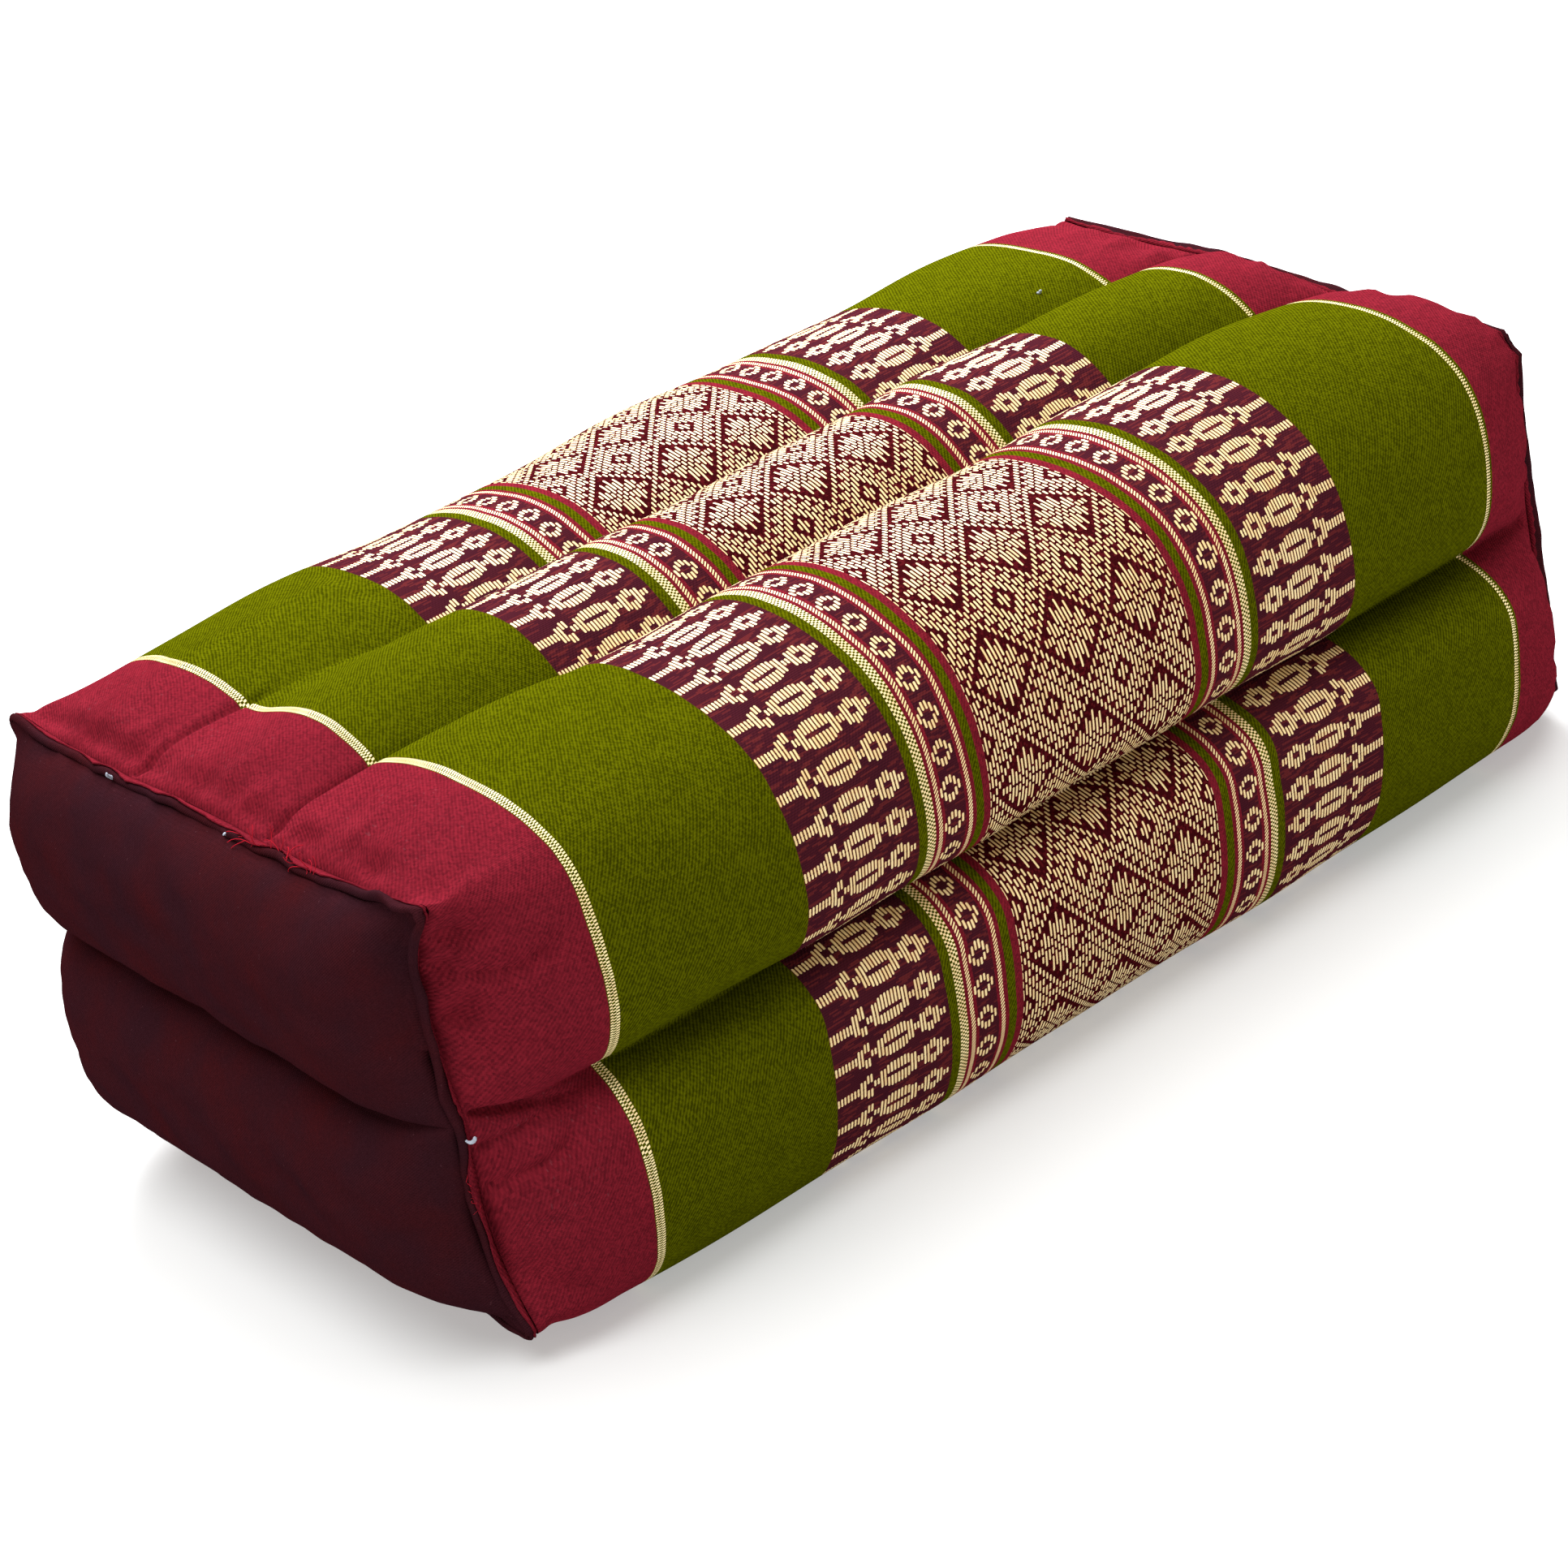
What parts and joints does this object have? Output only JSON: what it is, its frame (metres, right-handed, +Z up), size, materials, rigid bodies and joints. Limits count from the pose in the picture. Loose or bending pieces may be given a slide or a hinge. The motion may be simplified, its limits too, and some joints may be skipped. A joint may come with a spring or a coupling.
{
  "type": "support cushion",
  "caption": "Oblong support cushion of firmly filled tubes in a striped, patterned cloth wrap, with a plain dark panel sewn on each end.",
  "frame": {"origin": "on the floor, below the middle of the cushion", "axes": "+X along the tubes, from the near end to the far one; -Y towards the front side; +Z up"},
  "size_m": [0.3816, 0.2157, 0.133],
  "materials": {
    "wrap_cloth": "striped cotton, plain weave with raised cream supplementary weft figures",
    "end_cloth": "matte dark wine cotton"
  },
  "bodies": {
    "root": {"filled_block": "wrap_cloth", "near_end_panel": "end_cloth", "far_end_panel": "end_cloth"}
  },
  "joints": []
}
